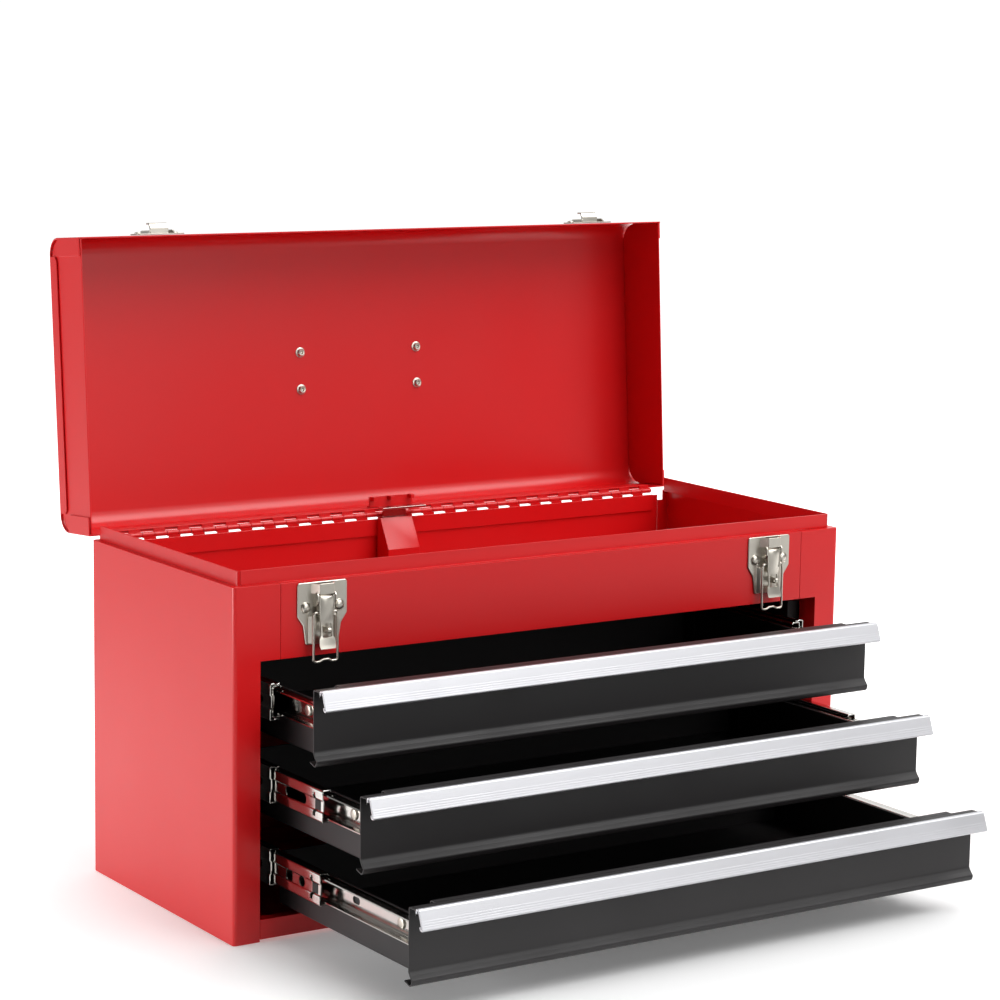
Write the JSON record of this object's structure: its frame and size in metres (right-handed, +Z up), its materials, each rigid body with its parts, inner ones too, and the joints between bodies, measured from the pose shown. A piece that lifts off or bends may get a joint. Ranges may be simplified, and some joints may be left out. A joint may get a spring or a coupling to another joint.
{
  "type": "tool chest",
  "caption": "Portable steel tool chest with a hinged lid over an open top compartment, sliding drawers on ball-bearing slides, draw latches and a carrying handle.",
  "frame": {"origin": "centre of the underside of the base, on the surface the chest stands on", "axes": "+X to the chest's right seen from the front, +Y to the back, +Z up; the drawers open along -Y"},
  "size_m": [0.51, 0.4986, 0.4654],
  "materials": {
    "red_powder_coat": "satin red powder coat on sheet steel",
    "black_powder_coat": "satin charcoal powder coat on sheet steel",
    "anodised_aluminium": "satin anodised extrusion",
    "zinc_plate": "bright zinc plate on rolled steel",
    "nickel_plate": "nickel plate on pressed steel",
    "chrome_plate": "chrome plate on pressed steel",
    "black_plastic": "moulded PVC with a satin grain"
  },
  "bodies": {
    "cabinet": {"side_panel_left": "red_powder_coat", "side_panel_right": "red_powder_coat", "upper_front_panel": "red_powder_coat", "back_panel": "red_powder_coat", "base_panel": "red_powder_coat", "compartment_floor": "red_powder_coat", "slide_mount_left": "black_powder_coat", "slide_mount_right": "black_powder_coat", "lock_cover": "red_powder_coat", "hinge_leaf_cabinet": "red_powder_coat", "hinge_pin": "zinc_plate", "slide_outer_1_left": "zinc_plate", "slide_outer_1_right": "zinc_plate", "slide_outer_2_left": "zinc_plate", "slide_outer_2_right": "zinc_plate", "slide_outer_3_left": "zinc_plate", "slide_outer_3_right": "zinc_plate", "latch_base_left": "nickel_plate", "latch_base_right": "nickel_plate", "latch_pin_left": "nickel_plate", "latch_pin_right": "nickel_plate"},
    "lid": {"lid_shell": "red_powder_coat", "lid_end_left": "red_powder_coat", "lid_end_right": "red_powder_coat", "hinge_leaf_lid": "red_powder_coat", "lock_pusher": "red_powder_coat", "catch_left": "nickel_plate", "catch_right": "nickel_plate", "handle_bracket_left": "chrome_plate", "handle_bracket_right": "chrome_plate"},
    "handle": {"handle_grip": "black_plastic"},
    "lock": {"lock_bar": "zinc_plate"},
    "slide_1": {"slide_middle_1_left": "zinc_plate", "slide_middle_1_right": "zinc_plate"},
    "drawer_1": {"drawer_box_1": "black_powder_coat", "drawer_front_1": "black_powder_coat", "drawer_pull_1": "anodised_aluminium", "slide_inner_1_left": "zinc_plate", "slide_inner_1_right": "zinc_plate"},
    "slide_2": {"slide_middle_2_left": "zinc_plate", "slide_middle_2_right": "zinc_plate"},
    "drawer_2": {"drawer_box_2": "black_powder_coat", "drawer_front_2": "black_powder_coat", "drawer_pull_2": "anodised_aluminium", "slide_inner_2_left": "zinc_plate", "slide_inner_2_right": "zinc_plate"},
    "slide_3": {"slide_middle_3_left": "zinc_plate", "slide_middle_3_right": "zinc_plate"},
    "drawer_3": {"drawer_box_3": "black_powder_coat", "drawer_front_3": "black_powder_coat", "drawer_pull_3": "anodised_aluminium", "slide_inner_3_left": "zinc_plate", "slide_inner_3_right": "zinc_plate"},
    "lever_left": {"latch_lever_left": "nickel_plate"},
    "bail_left": {"latch_bail_left": "nickel_plate"},
    "lever_right": {"latch_lever_right": "nickel_plate"},
    "bail_right": {"latch_bail_right": "nickel_plate"}
  },
  "joints": [
    {"name": "lid_hinge", "type": "hinge", "parent": "cabinet", "child": "lid", "pos_m": [0, 0.1084, 0.2428], "axis": [1, 0, 0], "range_deg": [0, 94.5]},
    {"name": "lock_slide", "type": "slide", "parent": "cabinet", "child": "lock", "axis": [0, 0, 1], "range_m": [-0.006, 0]},
    {"name": "handle_lift", "type": "slide", "parent": "lid", "child": "handle", "axis": [0, 0.9969, -0.0785], "range_m": [0, 0.006]},
    {"name": "middle_1_slide", "type": "slide", "parent": "cabinet", "child": "slide_1", "axis": [0, -1, 0], "range_m": [0, 0.08]},
    {"name": "drawer_1_slide", "type": "slide", "parent": "slide_1", "child": "drawer_1", "axis": [0, -1, 0], "range_m": [-0.065, 0.057]},
    {"name": "middle_2_slide", "type": "slide", "parent": "cabinet", "child": "slide_2", "axis": [0, -1, 0], "range_m": [-0.067, 0.013]},
    {"name": "drawer_2_slide", "type": "slide", "parent": "slide_2", "child": "drawer_2", "axis": [0, -1, 0], "range_m": [-0.058, 0.064]},
    {"name": "middle_3_slide", "type": "slide", "parent": "cabinet", "child": "slide_3", "axis": [0, -1, 0], "range_m": [-0.064, 0.016]},
    {"name": "drawer_3_slide", "type": "slide", "parent": "slide_3", "child": "drawer_3", "axis": [0, -1, 0], "range_m": [-0.1205, 0.0015]},
    {"name": "lever_left_pivot", "type": "hinge", "parent": "cabinet", "child": "lever_left", "pos_m": [-0.189, -0.1122, 0.231], "axis": [-1, 0, 0], "range_deg": [0, 60]},
    {"name": "bail_left_pivot", "type": "hinge", "parent": "lever_left", "child": "bail_left", "pos_m": [-0.189, -0.1122, 0.222], "axis": [-1, 0, 0], "range_deg": [0, 118]},
    {"name": "lever_right_pivot", "type": "hinge", "parent": "cabinet", "child": "lever_right", "pos_m": [0.189, -0.1122, 0.231], "axis": [-1, 0, 0], "range_deg": [0, 60]},
    {"name": "bail_right_pivot", "type": "hinge", "parent": "lever_right", "child": "bail_right", "pos_m": [0.189, -0.1122, 0.222], "axis": [-1, 0, 0], "range_deg": [0, 118]}
  ],
  "couplings": [
    {"joint": "lock_slide", "follows": "lid_hinge", "m_per_rad": -0.003637}
  ]
}
